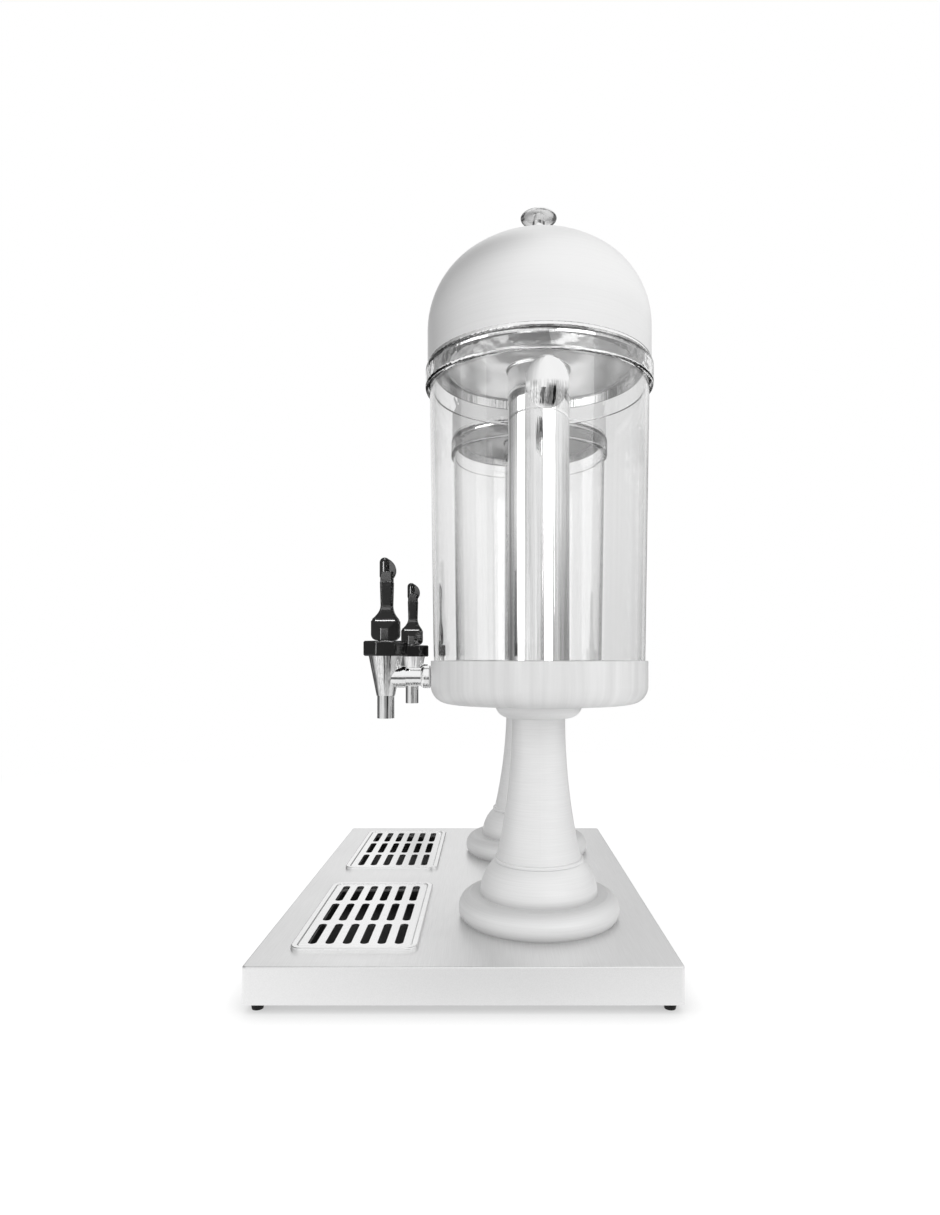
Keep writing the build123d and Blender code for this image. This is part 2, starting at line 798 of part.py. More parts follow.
with BuildPart() as seat_cup:
    with BuildSketch(tap_plane):
        with BuildLine():
            Polyline(
                (0, seat_z),
                (seat_cup_radius, seat_z),
                (seat_cup_radius, seat_z + seat_cup_skirt),
                (seat_cup_top_radius, seat_z + seat_cup_height),
                (0, seat_z + seat_cup_height),
                close=True,
            )
        make_face()
    revolve(axis=tap_axis)
    with BuildSketch(Plane.XY.offset(seat_z + seat_cup_height)):
        with Locations((0, -tap_reach)):
            Circle(stem_radius + running_gap)
    extrude(amount=-seat_cup_grip, mode=Mode.SUBTRACT)

# Lever: a faceted block that rocks on the bonnet, flared into a slim grip with a round head and a fin
block_slope = (block_thickness - block_top_thickness) / (block_thickness - block_edge_thickness)
block_top_face = block_face_width + block_slope * (block_width - block_face_width)
crown_cut = 2 * block_ledge_setback
crown = (
    block_width - crown_cut,
    block_top_thickness - crown_cut,
    block_top_face - crown_cut,
    block_edge_thickness - crown_cut,
)
grip = (grip_width, grip_thickness, grip_width - grip_edge, grip_thickness - grip_edge)
grip_top = (grip_top_width, grip_top_thickness, grip_top_width - grip_edge, grip_top_thickness - grip_edge)
sleeve = tuple(size - 2 * sleeve_setback for size in grip_top)
block_foot = (block_width, block_foot_thickness, block_face_width, block_edge_thickness)
block = (block_width, block_thickness, block_face_width, block_edge_thickness)
block_top = (block_width, block_top_thickness, block_top_face, block_edge_thickness)
crown_rise = block_height + block_crown
grip_rise = crown_rise + flare_height
sleeve_rise = grip_rise + grip_height
lever_sections = [
    (0, 0, *block_foot),
    (block_shoulder, 0, *block),
    (block_height, 0, *block_top),
    (block_height + block_ledge, 0, *crown),
]
for step in range(flare_steps + 1):
    share = (1 - step / flare_steps) ** 2
    flare = [slim + share * (wide - slim) for wide, slim in zip(crown, grip)]
    rise = crown_rise + step / flare_steps * flare_height
    lever_sections.append((rise, (1 - share) * grip_setback, *flare))
lever_sections += [
    (sleeve_rise, grip_setback, *grip_top),
    (sleeve_rise + sleeve_setback, grip_setback, *sleeve),
    (sleeve_rise + sleeve_height, grip_setback, *sleeve),
]
head_top = lever_height - pin_rise
fork_radius = eye_radius + fork_gap
fork_swing = pin_rise * tan(radians(lever_tilt)) + fork_radius / cos(radians(lever_tilt))
with BuildPart() as tap_lever:
    for rise, setback, width, thickness, face_width, edge_thickness in lever_sections:
        with BuildSketch(Plane((0, setback - tap_reach, lever_bottom + rise))):
            with BuildLine():
                Polyline(
                    (thickness / 2, face_width / 2),
                    (edge_thickness / 2, width / 2),
                    (-edge_thickness / 2, width / 2),
                    (-thickness / 2, face_width / 2),
                    (-thickness / 2, -face_width / 2),
                    (-edge_thickness / 2, -width / 2),
                    (edge_thickness / 2, -width / 2),
                    (thickness / 2, -face_width / 2),
                    close=True,
                )
            make_face()
    loft(ruled=True)
    with BuildSketch(lever_plane) as lever_side:
        with Locations((0, -pin_rise)):
            Rectangle(block_width, lever_height, align=(Align.CENTER, Align.MIN))
        fillet(lever_side.vertices().group_by(Axis.Y)[0], block_foot_radius)
    extrude(amount=block_thickness, both=True, mode=Mode.INTERSECT)
    with BuildSketch(lever_plane):
        with BuildLine():
            head_side = (-head_forward - head_radius, head_top - head_radius)
            head_peak = (-head_forward, head_top)
            head_foot = head_top - head_length
            TangentArc(head_side, head_peak, tangent=(0, 1))
            Polyline(head_peak, (-head_forward, head_foot), (head_side[0], head_foot), head_side)
        make_face()
    revolve(axis=Axis((0, -tap_reach - head_forward, pin_z), (0, 0, 1)))
    with BuildSketch(lever_plane):
        with BuildLine():
            fin_tip = (fin_reach, head_top - fin_tip_drop)
            fin_top = (0, head_top - fin_top_drop)
            fin_foot = (0, head_top - fin_length)
            TangentArc(fin_tip, fin_top, tangent=(0, 1))
            TangentArc(fin_tip, fin_foot, tangent=(0, -1))
            Line(fin_foot, fin_top)
        make_face()
    extrude(amount=fin_thickness / 2, both=True)
    with BuildSketch(lever_plane):
        Circle(fork_radius)
        with BuildLine():
            Polyline(
                (fork_radius, 0),
                (fork_radius, -pin_rise),
                (-fork_swing, -pin_rise),
                (-fork_radius * cos(radians(lever_tilt)), fork_radius * sin(radians(lever_tilt))),
                close=True,
            )
        make_face()
    extrude(amount=eye_thickness / 2 + fork_gap, both=True, mode=Mode.SUBTRACT)
    with BuildSketch(lever_plane.offset(block_thickness / 2 - pin_cover)):
        Circle(pin_radius + running_gap)
    extrude(amount=-block_thickness, mode=Mode.SUBTRACT)

# Lever pin, pushed in from one side of the fork
with BuildPart() as lever_pin:
    with BuildSketch(lever_plane.offset(block_thickness / 2 - pin_cover - hole_gap)):
        Circle(pin_radius)
    extrude(amount=pin_cover + hole_gap - block_thickness + pin_setback)

# Lid ring: a flat polished ring under the dome, with a lip that drops into the mouth of the tank
with BuildPart() as lid_ring:
    with BuildSketch(Plane.XY.offset(tank_top)):
        Circle(lid_radius - lid_ring_setback)
        Circle(lid_ring_inner_radius, mode=Mode.SUBTRACT)
    extrude(amount=lid_ring_height)
    with BuildSketch(Plane.XY.offset(tank_top)):
        Circle(tank_mouth_radius - lid_lip_gap)
        Circle(tank_mouth_radius - lid_lip_gap - lid_lip_thickness, mode=Mode.SUBTRACT)
    extrude(amount=-lid_lip_depth)

with BuildPart() as lid_dome:
    with BuildSketch(Plane.XZ):
        with BuildLine():
            dome_outline(0)
        make_face()
    revolve(axis=Axis.Z)
    with BuildSketch(Plane.XZ):
        with BuildLine():
            dome_outline(lid_wall)
        make_face()
    revolve(axis=Axis.Z, mode=Mode.SUBTRACT)
    with BuildSketch(Plane.XY.offset(dome_apex + lid_wall)):
        Circle(lid_screw_diameter / 2 + hole_gap)
    extrude(amount=-lid_rise / 2, mode=Mode.SUBTRACT)

# Lid knob: a flattened ball on a short neck
with BuildPart() as knob_oval:
    Sphere(lid_knob_radius)
    scale(by=(1, 1, lid_knob_half_height / lid_knob_radius))

with BuildPart() as lid_knob:
    with Locations((0, 0, knob_middle)):
        add(knob_oval.part)
    with BuildSketch(Plane.XY.offset(dome_apex)):
        Circle(lid_neck_radius)
    extrude(amount=knob_middle - dome_apex)
    with BuildSketch(Plane.XY.offset(dome_apex)):
        Circle(lid_neck_foot_radius)
    extrude(amount=lid_neck_foot_height)
    with BuildSketch(Plane.XY.offset(dome_apex)):
        Circle(lid_screw_diameter / 2 + thread_gap)
    extrude(amount=lid_screw_reach + thread_gap, mode=Mode.SUBTRACT)

lid_screw_seat = dome_apex - lid_wall - sagitta(lid_shoulder_radius, lid_screw_head_radius)
with BuildPart() as lid_screw:
    with BuildSketch(Plane.XY.offset(lid_screw_seat)):
        Circle(lid_screw_head_radius)
    extrude(amount=-lid_screw_head_height)
    with BuildSketch(Plane.XY.offset(lid_screw_seat)):
        Circle(lid_screw_diameter / 2)
    extrude(amount=dome_apex + lid_screw_reach - lid_screw_seat)

# Drip pan: a raised bead round a ledge for the grate, and a basin through the top of the base
tray_plane = Plane((0, -tray_forward, base_top))
tray_inner_length = tray_length - 2 * tray_bead_width
tray_inner_width = tray_width - 2 * tray_bead_width
tray_inner_radius = tray_corner_radius - tray_bead_width
with BuildPart() as drip_pan:
    with BuildSketch(tray_plane):
        RectangleRounded(tray_length, tray_width, tray_corner_radius)
    extrude(amount=tray_bead_height)
    with BuildSketch(tray_plane.offset(tray_sheet)):
        RectangleRounded(tray_inner_length, tray_inner_width, tray_inner_radius)
    extrude(amount=tray_bead_height, mode=Mode.SUBTRACT)
    fillet(drip_pan.faces().sort_by(Axis.Z)[-1].edges(), tray_bead_edge)
    with BuildSketch(tray_plane):
        RectangleRounded(tray_basin_length, tray_basin_width, tray_basin_radius)
    extrude(amount=-tray_depth)
    with BuildSketch(tray_plane.offset(tray_sheet - tray_depth)):
        RectangleRounded(
            tray_basin_length - 2 * tray_sheet,
            tray_basin_width - 2 * tray_sheet,
            tray_basin_radius - tray_sheet,
        )
    extrude(amount=tray_depth, mode=Mode.SUBTRACT)

# Drip grate: a flat slotted plate inside the bead
with BuildPart() as drip_grate:
    with BuildSketch(tray_plane.offset(tray_sheet)):
        RectangleRounded(
            tray_inner_length - 2 * grate_gap, tray_inner_width - 2 * grate_gap, tray_inner_radius - grate_gap
        )
        with GridLocations(slot_pitch_x, slot_pitch_y, slot_rows, slot_columns):
            SlotOverall(slot_length, slot_width, mode=Mode.SUBTRACT)
    extrude(amount=grate_sheet)

unit_pieces = {
    "pedestal_foot": pedestal_foot,
    "pedestal_collar": pedestal_collar,
    "pedestal_column": pedestal_column,
    "column_cap": column_cap,
    "tie_rod": tie_rod,
    "tank_cup": tank_cup,
    "tank_pad": tank_pad,
    "tank": tank,
    "ice_tube": ice_tube,
    "ice_tube_seal": ice_tube_seal,
    "side_knobs": side_knobs,
    "side_knob_screws": side_knob_screws,
    "tap_body": tap_body,
    "tap_shank": tap_shank,
    "tap_washers": tap_washers,
    "tap_locknut": tap_locknut,
    "tap_bonnet": tap_bonnet,
    "valve_stem": valve_stem,
    "seat_cup": seat_cup,
    "tap_lever": tap_lever,
    "lever_pin": lever_pin,
    "lid_ring": lid_ring,
    "lid_dome": lid_dome,
    "lid_knob": lid_knob,
    "lid_screw": lid_screw,
    "drip_pan": drip_pan,
    "drip_grate": drip_grate,
}

# Write every piece, with the pieces of a unit once for each side
os.makedirs("parts", exist_ok=True)
for name, piece in shared_pieces.items():
    piece.part.label = name
    export_step(piece.part, f"parts/{name}.step")
for side, (place_x, place_y) in unit_places.items():
    for name, piece in unit_pieces.items():
        placed = piece.part.moved(Location((place_x, place_y, 0)))
        placed.label = f"{name}_{side}"
        export_step(placed, f"parts/{name}_{side}.step")
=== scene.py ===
import json
import math

import bpy
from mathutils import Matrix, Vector


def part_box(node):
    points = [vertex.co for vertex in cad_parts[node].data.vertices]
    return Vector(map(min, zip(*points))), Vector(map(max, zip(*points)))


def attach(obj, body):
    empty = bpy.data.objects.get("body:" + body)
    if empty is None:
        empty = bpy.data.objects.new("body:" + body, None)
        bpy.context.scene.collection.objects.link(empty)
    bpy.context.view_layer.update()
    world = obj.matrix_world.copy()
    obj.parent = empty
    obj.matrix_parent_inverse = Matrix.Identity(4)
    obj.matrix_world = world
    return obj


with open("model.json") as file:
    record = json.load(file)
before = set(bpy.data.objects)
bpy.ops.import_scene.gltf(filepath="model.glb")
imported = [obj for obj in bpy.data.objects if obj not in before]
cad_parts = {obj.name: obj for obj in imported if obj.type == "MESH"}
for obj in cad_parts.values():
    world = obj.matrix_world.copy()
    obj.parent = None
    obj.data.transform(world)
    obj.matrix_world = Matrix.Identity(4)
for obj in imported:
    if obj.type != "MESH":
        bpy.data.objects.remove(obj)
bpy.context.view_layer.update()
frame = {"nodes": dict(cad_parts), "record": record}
nodes = frame["nodes"]
subparts = frame["record"]["subparts"]

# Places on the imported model, in metres
tank_low, tank_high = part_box("tank_right")
base_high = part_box("base_housing")[1]
pan_low, pan_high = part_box("drip_pan_right")
dome_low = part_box("lid_dome_right")[0]
collar_height = 0.0205
ledge_height = 0.0225
collar_z = tank_high.z - collar_height
ledge_z = base_high.z + ledge_height
unit_x = (tank_low.x + tank_high.x) / 2
unit_y = (tank_low.y + tank_high.y) / 2
unit_sides = (-1, 1)

# Heights over which a finish changes: where painted shade starts inside the drip pan, at the tank's collar, and
# where painted shade lies in the corners of the foot
basin_fade = (base_high.z - 0.004, base_high.z - 0.0005)
collar_fade = (collar_z - 0.0005, collar_z + 0.002)
ledge_top = ledge_z + 0.0004
ledge_corner = (ledge_z + 0.0005, ledge_z + 0.007)
shoulder_corner = (ledge_z - 0.008, ledge_z - 0.001)
base_corner = (base_high.z + 0.0005, base_high.z + 0.008)

# How dark the painted shade in the corners of the foot is, and the grey it goes towards
ledge_shade = 0.30
shoulder_shade = 0.16
base_shade = 0.22
painted_corner_grey = 0.12

# Values that most of a noise lies between, and depths of relief in metres
noise_span = (0.3, 0.7)
wide_span = (0.2, 0.8)
skin_relief = 0.0002
ripple_relief = 0.001
collar_relief = 0.004

# Thread on the ends of the tie rods and tap shanks
thread_sizes = {"Pitch": 0.001, "Turns": 2.4, "Ridge": 0.0003}
thread_start = 0.0003
shank_thread_radius = 0.007
helix_steps = 40
ridge_sides = 6

# Photograph: its frame, and the eye point and lens found from the corners of the base and the round rims
photo_width = 940
photo_height = 1215
focal_pixels = 758.57
principal_x = 489.91
principal_y = 658.44
eye = (0.86564, 0.02145, 0.28819)
sensor = 36.0

# Light: its level on matt surfaces, and where the lamps aim and stand
ambient = 0.70
lamp_aim = (0.0, 0.03, 0.35)
lamp_distance = 2.2

# Counts along a path of light: at least one bounce, surfaces crossed within a tank, and right through one
once = 0.5
within_tank = (0.5, 3.5)
through_tank = (3.5, 5.5)

# Studio round the object: degrees from the eye's side towards the back, and the grey seen there
low_greys = [
    (-180, 0.25), (-173, 0.08), (-166, 0.50), (-152, 0.22), (-141, 0.50), (-127, 0.18), (-113, 0.45),
    (-101, 0.22), (-86, 0.55), (-72, 0.80), (-58, 1.0), (-8, 1.0), (4, 0.72), (13, 0.32), (22, 0.50),
    (27, 0.08), (33, 0.08), (38, 0.70), (58, 0.75), (80, 0.60), (90, 0.35), (98, 0.60), (112, 0.26),
    (124, 0.45), (140, 0.30), (155, 0.50), (173, 0.08), (180, 0.25),
]
middle_greys = [
    (-180, 1.0), (-160, 0.95), (-150, 0.50), (-138, 0.35), (-112, 0.68), (-90, 0.95), (-66, 0.85),
    (-50, 0.62), (-36, 0.80), (-20, 1.0), (15, 1.0), (27, 0.78), (40, 0.66), (52, 0.85), (75, 0.95),
    (100, 0.80), (115, 0.65), (140, 0.45), (155, 0.32), (170, 0.48), (180, 0.96),
]
high_greys = [
    (-180, 0.99), (-163, 0.92), (-146, 0.10), (-110, 0.30), (-66, 0.62), (-30, 0.94), (0, 0.99),
    (66, 0.97), (110, 1.0), (138, 1.0), (150, 0.78), (172, 0.78), (180, 0.98),
]
low_power = 1.35
low_to_middle = (0.04, 0.20)
middle_to_high = (0.24, 0.36)
streak_scale = 15.0
streak_span = (0.34, 0.60)
streak_range = (0.55, 1.08)

# Grey card behind the tanks, seen only right through one: its reach across and along, and its depth
card_across = (0.09, 0.22)
card_depth = (0.24, 0.12)
card_edge = 0.05
card_along = (-0.92, -0.80)

# Floor to the eye: paint that takes the lamps' shadow and fades to white, with a painted contact shadow at the
# feet and painted shade under the base
floor_reach = 30.0
floor_rough = 0.9
floor_grey = 0.25
floor_fade = (0.6, 1.5)
paint_share = 0.6
contact_reach = 0.03
contact_samples = 16
contact_span = (0.1, 1.0)
contact_level = 0.52
under_fade = (0.02, 0.04)
under_level = 0.12

# Floor to matt surfaces: its paint, and what it hands on in the open and within a tank
lit_grey = 0.5
open_bounce = 0.25
tank_bounce = 1.0

# Floor to polished metal: streaks far off, a painted shade before the eye, a painted dark band beside it, a
# lift through a tank
floor_streaks = (0.5, 0.8)
floor_power = 1.8
shade_aside = (0.04, 0.26)
shade_ahead = (0.2, 0.3)
shade_depth = 0.22
gap_turn = 0.19
gap_aside = (0.08, 0.18)
gap_away = (0.6, 0.8)
gap_depth = 0.85
tank_lift = 0.7


# Nodes

def feed(tree, socket, value):
    """Link a socket to another node's socket, or set it to a value."""
    if isinstance(value, bpy.types.NodeSocket):
        tree.links.new(value, socket)
    else:
        socket.default_value = value


def node(tree, kind, inputs=None, **settings):
    """A node with its settings, and its input sockets set to values or linked to other sockets."""
    made = tree.nodes.new(kind)
    for name, value in settings.items():
        setattr(made, name, value)
    for name, value in (inputs or {}).items():
        feed(tree, made.inputs[name], value)
    return made


def shared(tree, shader_group, **inputs):
    """The outputs of a shared shader group, placed in a tree with its own values."""
    return node(tree, "ShaderNodeGroup", inputs, node_tree=shader_group).outputs


def math_node(tree, operation, first, second=0.0, clamp=False):
    made = node(tree, "ShaderNodeMath", {0: first, 1: second}, operation=operation, use_clamp=clamp)
    return made.outputs[0]


def plus(tree, first, second):
    return math_node(tree, "ADD", first, second)


def minus(tree, first, second):
    return math_node(tree, "SUBTRACT", first, second)


def times(tree, first, second):
    return math_node(tree, "MULTIPLY", first, second)


def size_of(tree, value):
    return math_node(tree, "ABSOLUTE", value)


def opposite(tree, mask):
    """1 where a mask is 0, and 0 where it is 1."""
    return minus(tree, 1.0, mask)


def over(tree, value, least):
    """1 where a value is over another, 0 elsewhere."""
    return math_node(tree, "GREATER_THAN", value, least)


def between(tree, value, low, high):
    """1 where a value lies between two others, 0 elsewhere."""
    return times(tree, over(tree, value, low), math_node(tree, "LESS_THAN", value, high))


def remap(tree, value, low, high, new_low, new_high):
    """A value carried from one range to another, and held at its ends."""
    made = node(tree, "ShaderNodeMapRange", {"Value": value, "From Min": low, "From Max": high,
                                             "To Min": new_low, "To Max": new_high})
    return made.outputs["Result"]


def grey(level):
    return (level, level, level, 1.0)


def blend_colours(tree, factor, first, second):
    made = node(tree, "ShaderNodeMix", data_type="RGBA")
    for socket, value in ((made.inputs[0], factor), (made.inputs[6], first), (made.inputs[7], second)):
        feed(tree, socket, value)
    return made.outputs[2]


def blend_greys(tree, factor, dark, light):
    return blend_colours(tree, factor, grey(dark), grey(light))


def object_place(tree):
    return node(tree, "ShaderNodeTexCoord").outputs["Object"]


def split(tree, vector):
    """The X, Y and Z of a vector."""
    return list(node(tree, "ShaderNodeSeparateXYZ", {0: vector}).outputs)


def join(tree, x, y, z=0.0):
    """A vector from its X, Y and Z."""
    return node(tree, "ShaderNodeCombineXYZ", {"X": x, "Y": y, "Z": z}).outputs[0]


def noise(tree, place, scale, detail):
    made = node(tree, "ShaderNodeTexNoise", {"Vector": place, "Scale": scale, "Detail": detail})
    return made.outputs["Fac"]


def with_contrast(tree, value, contrast):
    """A value from 0 to 1 drawn away from its middle, or towards it."""
    scaled = times(tree, minus(tree, value, 0.5), contrast)
    return math_node(tree, "ADD", scaled, 0.5, clamp=True)


def lights_matt(tree, path):
    """1 for light that a matt surface gathers, 0 for the rest."""
    return over(tree, path["Diffuse Depth"], once)


def seen_in_metal(tree, path):
    """1 for light off polished metal, 0 for the eye and for light turned back inside the clear wall."""
    turned = over(tree, path["Glossy Depth"], once)
    return times(tree, turned, opposite(tree, between(tree, path["Transmission Depth"], *within_tank)))


# Shader groups shared by several finishes

def group(name, inputs, outputs):
    """An empty shader group: its tree, what its float or vector inputs give, and its outputs to feed."""
    tree = bpy.data.node_groups.new(name, "ShaderNodeTree")
    for socket_name, value in inputs.items():
        kind = "NodeSocketVector" if isinstance(value, tuple) else "NodeSocketFloat"
        socket = tree.interface.new_socket(socket_name, in_out="INPUT", socket_type=kind)
        socket.default_value = value
    for socket_name in outputs:
        tree.interface.new_socket(socket_name, in_out="OUTPUT", socket_type="NodeSocketFloat")
    return tree, tree.nodes.new("NodeGroupInput").outputs, tree.nodes.new("NodeGroupOutput").inputs


def make_unit_place():
    """Place round the axis of the nearer tank: angle, radius and height."""
    tree, given, result = group(
        "Unit Place", {"Axis X": unit_x, "Axis Y": unit_y}, ["Angle", "Radius", "Height"])
    x, y, z = split(tree, object_place(tree))
    across = minus(tree, size_of(tree, x), given["Axis X"])
    along = minus(tree, y, given["Axis Y"])
    squares = plus(tree, math_node(tree, "POWER", across, 2.0), math_node(tree, "POWER", along, 2.0))
    feed(tree, result["Angle"], math_node(tree, "ARCTAN2", along, across))
    feed(tree, result["Radius"], math_node(tree, "SQRT", squares))
    feed(tree, result["Height"], z)
    return tree


def make_drawn_grain():
    """Fine drawn lines in sheet metal, long one way and thin the other, with a slow cloud over them."""
    tree, given, result = group(
        "Drawn Grain", {"Stretch": (40.0, 1800.0, 1800.0), "Contrast": 1.0}, ["Grain", "Cloud"])
    place = object_place(tree)
    stretched = node(tree, "ShaderNodeVectorMath", {0: place, 1: given["Stretch"]}, operation="MULTIPLY")
    lines = noise(tree, stretched.outputs[0], scale=1.0, detail=3.0)
    feed(tree, result["Grain"], with_contrast(tree, lines, given["Contrast"]))
    feed(tree, result["Cloud"], noise(tree, place, scale=9.0, detail=2.0))
    return tree


def make_spun_rings():
    """Fine rings left by spinning and polishing round the axis of a tank, with a slow cloud over them."""
    tree, given, result = group("Spun Rings", {"Pitch": 900.0, "Contrast": 1.0}, ["Rings", "Cloud"])
    place = shared(tree, unit_place)
    outward = times(tree, place["Radius"], given["Pitch"])
    upward = times(tree, place["Height"], given["Pitch"])
    turned = join(tree, outward, upward, math_node(tree, "SINE", place["Angle"]))
    rings = noise(tree, turned, scale=1.0, detail=2.0)
    feed(tree, result["Rings"], with_contrast(tree, rings, given["Contrast"]))
    feed(tree, result["Cloud"], noise(tree, object_place(tree), scale=14.0, detail=2.0))
    return tree


def make_moulded_skin():
    """The faint pebbled skin of a moulded piece, with soft handling marks."""
    tree, given, result = group("Moulded Skin", {"Scale": 900.0}, ["Skin", "Marks"])
    place = object_place(tree)
    feed(tree, result["Skin"], noise(tree, place, given["Scale"], detail=2.0))
    feed(tree, result["Marks"], noise(tree, place, scale=45.0, detail=3.0))
    return tree


def ramp_of(tree, factor, greys):
    """A colour ramp round the compass, from pairs of degrees and grey level."""
    ramp = node(tree, "ShaderNodeValToRGB", {"Fac": factor})
    stops = ramp.color_ramp.elements
    stops[0].position, stops[0].color = 0.0, grey(greys[0][1])
    stops[1].position, stops[1].color = 1.0, grey(greys[-1][1])
    for degrees, level in greys[1:-1]:
        stop = stops.new((degrees + 180) / 360)
        stop.color = grey(level)
    return ramp.outputs["Color"]


def make_studio_greys():
    """What polished metal sees round it, in three tiers: streaked low down and half way, soft high up."""
    tree, given, result = group("Studio Greys", {"Towards": (1.0, 0.0, 0.0)}, ["Low", "Middle", "High"])
    x, y = split(tree, given["Towards"])[:2]
    turn = math_node(tree, "ARCTAN2", y, x)
    around = join(tree, math_node(tree, "COSINE", turn), math_node(tree, "SINE", turn))
    streaks = remap(tree, noise(tree, around, streak_scale, detail=3.0), *streak_span, *streak_range)
    turn = remap(tree, turn, -math.pi, math.pi, 0.0, 1.0)
    for name, greys in (("Low", low_greys), ("Middle", middle_greys)):
        streaked = times(tree, ramp_of(tree, turn, greys), streaks)
        feed(tree, result[name], math_node(tree, "MINIMUM", streaked, 1.0))
    feed(tree, result["High"], ramp_of(tree, turn, high_greys))
    return tree


unit_place = make_unit_place()
drawn_grain = make_drawn_grain()
spun_rings = make_spun_rings()
moulded_skin = make_moulded_skin()
studio_greys = make_studio_greys()


# Finishes

def finish(name):
    """A material with a Principled shader on its output."""
    material = bpy.data.materials.new(name)
    material.use_nodes = True
    tree = material.node_tree
    tree.nodes.clear()
    surface = tree.nodes.new("ShaderNodeBsdfPrincipled")
    node(tree, "ShaderNodeOutputMaterial", {"Surface": surface.outputs[0]})
    return material, tree, surface


def set_up(tree, surface, **values):
    """Set or link the inputs of a shader, named in small letters."""
    for name, value in values.items():
        feed(tree, surface.inputs[name.replace("_", " ").title().replace("Ior", "IOR")], value)


def bump(tree, surface, height, strength, distance=skin_relief, edge=0.0):
    """Relief from a height, over edges that are rounded by a small radius where one is given."""
    made = node(tree, "ShaderNodeBump", {"Height": height, "Strength": strength, "Distance": distance})
    if edge:
        rounded = node(tree, "ShaderNodeBevel", {"Radius": edge}, samples=6)
        feed(tree, made.inputs["Normal"], rounded.outputs[0])
    feed(tree, surface.inputs["Normal"], made.outputs[0])


def spread(tree, value, low=0.0, high=1.0, span=noise_span):
    """A noise carried from the values that most of it lies between to a range of its own."""
    return remap(tree, value, *span, low, high)


def noise_round_axis(tree, around, upward, detail):
    """Noise without a seam round the axis of a tank, finer or coarser round it and up it."""
    place = shared(tree, unit_place)
    turned = join(tree, times(tree, math_node(tree, "SINE", place["Angle"]), around),
                  times(tree, math_node(tree, "COSINE", place["Angle"]), around),
                  times(tree, place["Height"], upward))
    return noise(tree, turned, scale=1.0, detail=detail)


def faces_out(tree, middle_y, middle_z):
    """1 where the wall of a hollow piece faces away from the middle of its hollow, 0 where it faces in."""
    x, y, z = split(tree, object_place(tree))
    across = minus(tree, x, times(tree, math_node(tree, "SIGN", x), unit_x))
    outward = join(tree, across, minus(tree, y, middle_y), minus(tree, z, middle_z))
    normal = node(tree, "ShaderNodeNewGeometry").outputs["Normal"]
    facing = node(tree, "ShaderNodeVectorMath", {0: outward, 1: normal}, operation="DOT_PRODUCT")
    return over(tree, facing.outputs["Value"], 0.0)


def satin_stainless():
    """Folded base: satin sheet with its grain along the length of the base."""
    material, tree, surface = finish("satin_stainless")
    grain = shared(tree, drawn_grain, Stretch=(30.0, 1500.0, 1500.0))
    set_up(tree, surface, metallic=1.0,
           base_color=blend_greys(tree, spread(tree, grain["Grain"]), dark=0.86, light=0.92),
           roughness=spread(tree, grain["Cloud"], low=0.34, high=0.42))
    bump(tree, surface, grain["Grain"], strength=0.06)
    return material


def bright_sheet():
    """Drip pan and grate: polished pressed sheet, painted near-black, rougher and not metal inside the basin,
    as shade.
    """
    material, tree, surface = finish("bright_sheet")
    basin_shade_grey = 0.012
    basin_shade_rough = 0.4
    grain = shared(tree, drawn_grain, Stretch=(900.0, 60.0, 900.0))
    # Painted shade: the inner faces of the basin below the ledge go near-black
    down = remap(tree, shared(tree, unit_place)["Height"], *basin_fade, 1.0, 0.0)
    outside = faces_out(tree, (pan_low.y + pan_high.y) / 2, (pan_low.z + base_high.z) / 2)
    painted_basin_shade = times(tree, down, opposite(tree, outside))
    sheet = blend_greys(tree, spread(tree, grain["Grain"]), dark=0.92, light=0.98)
    rough = spread(tree, grain["Cloud"], low=0.16, high=0.24)
    set_up(tree, surface, metallic=opposite(tree, painted_basin_shade),
           base_color=blend_colours(tree, painted_basin_shade, sheet, grey(basin_shade_grey)),
           roughness=plus(tree, rough, times(tree, painted_basin_shade, basin_shade_rough)))
    return material


def satin_spun(name, shade, rough):
    """Turned pedestal pieces: pale satin metal with faint spun rings, and painted shade in the corners of the
    foot.
    """
    material, tree, surface = finish(name)
    rings = shared(tree, spun_rings, Pitch=1100.0)
    satin = blend_greys(tree, spread(tree, rings["Rings"]), dark=shade - 0.02, light=shade + 0.02)
    height = shared(tree, unit_place)["Height"]
    # Painted shade: darker just above the ledge, on the torus's shoulder below it, and just above the base
    above_ledge = over(tree, height, ledge_top)
    ledge = remap(tree, height, *ledge_corner, ledge_shade, 0.0)
    ledge = times(tree, ledge, above_ledge)
    shoulder = remap(tree, height, *shoulder_corner, 0.0, shoulder_shade)
    shoulder = times(tree, shoulder, opposite(tree, above_ledge))
    base = remap(tree, height, *base_corner, base_shade, 0.0)
    painted_corner_shade = math_node(tree, "MAXIMUM", math_node(tree, "MAXIMUM", ledge, shoulder), base)
    set_up(tree, surface, metallic=0.2,
           base_color=blend_colours(tree, painted_corner_shade, satin, grey(painted_corner_grey)),
           roughness=spread(tree, rings["Cloud"], low=rough - 0.03, high=rough + 0.03))
    bump(tree, surface, rings["Rings"], strength=0.05)
    return material


def lid_satin():
    """Lid: satin pearl outside and polished inside, told apart by which way the wall faces."""
    material, tree, surface = finish("lid_satin")
    inside_grey = 0.94
    inside_rough = 0.12
    inside_metal, outside_metal = 0.65, 0.75
    rings = shared(tree, spun_rings, Pitch=900.0)
    outside = faces_out(tree, unit_y, dome_low.z)
    pearl = blend_greys(tree, spread(tree, rings["Rings"]), dark=0.84, light=0.86)
    satin = times(tree, outside, spread(tree, rings["Cloud"], low=0.40, high=0.46))
    set_up(tree, surface,
           base_color=blend_colours(tree, outside, grey(inside_grey), pearl),
           roughness=plus(tree, satin, times(tree, opposite(tree, outside), inside_rough)),
           metallic=remap(tree, outside, 0.0, 1.0, inside_metal, outside_metal))
    return material


